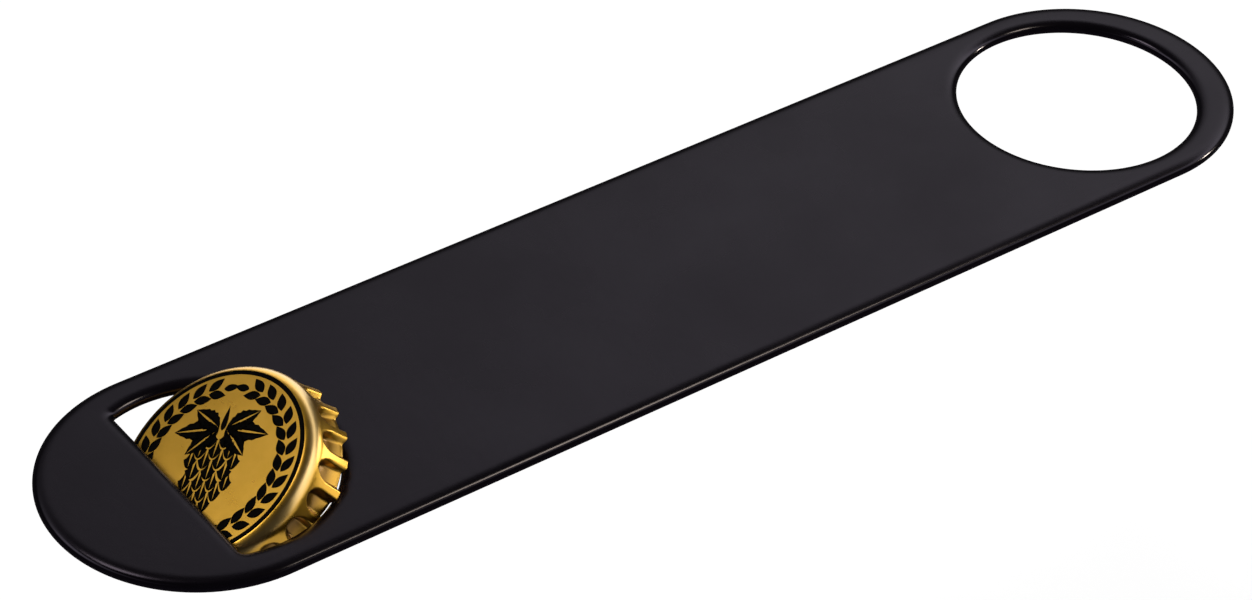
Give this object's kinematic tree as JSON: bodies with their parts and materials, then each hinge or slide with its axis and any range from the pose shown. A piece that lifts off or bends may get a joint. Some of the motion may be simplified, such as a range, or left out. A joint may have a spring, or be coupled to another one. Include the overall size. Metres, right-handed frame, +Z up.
{
  "type": "bar blade bottle opener",
  "caption": "Flat black-coated steel bar blade with a finger hole and a D-shaped cap cut-out that holds a pried crown cap.",
  "frame": {"origin": "centre of the coated blade's flat underside", "axes": "+X along the blade from the cap cut-out to the finger hole, +Z up out of the blade's upper face, +Y across the blade"},
  "size_m": [0.1774, 0.04, 0.0195],
  "materials": {
    "stainless_steel": "tumbled stainless steel, seen only at the bare hook mark",
    "black_powder_coat": "fused black powder coat, semi-gloss with a fine flow texture",
    "gold_lacquered_tinplate": "transparent gold lacquer over bright tinplate, printed black on the top face",
    "liner_compound": "off-white moulded sealing compound"
  },
  "bodies": {
    "blade": {"steel_blade": "stainless_steel", "black_coat": "black_powder_coat"},
    "crown_cap": {"cap_shell": "gold_lacquered_tinplate", "cap_liner": "liner_compound"}
  },
  "joints": [
    {"name": "cap_drops_out", "type": "slide", "parent": "blade", "child": "crown_cap", "axis": [-0.8161, -0.0473, -0.5759], "range_m": [0, 0.024]}
  ]
}
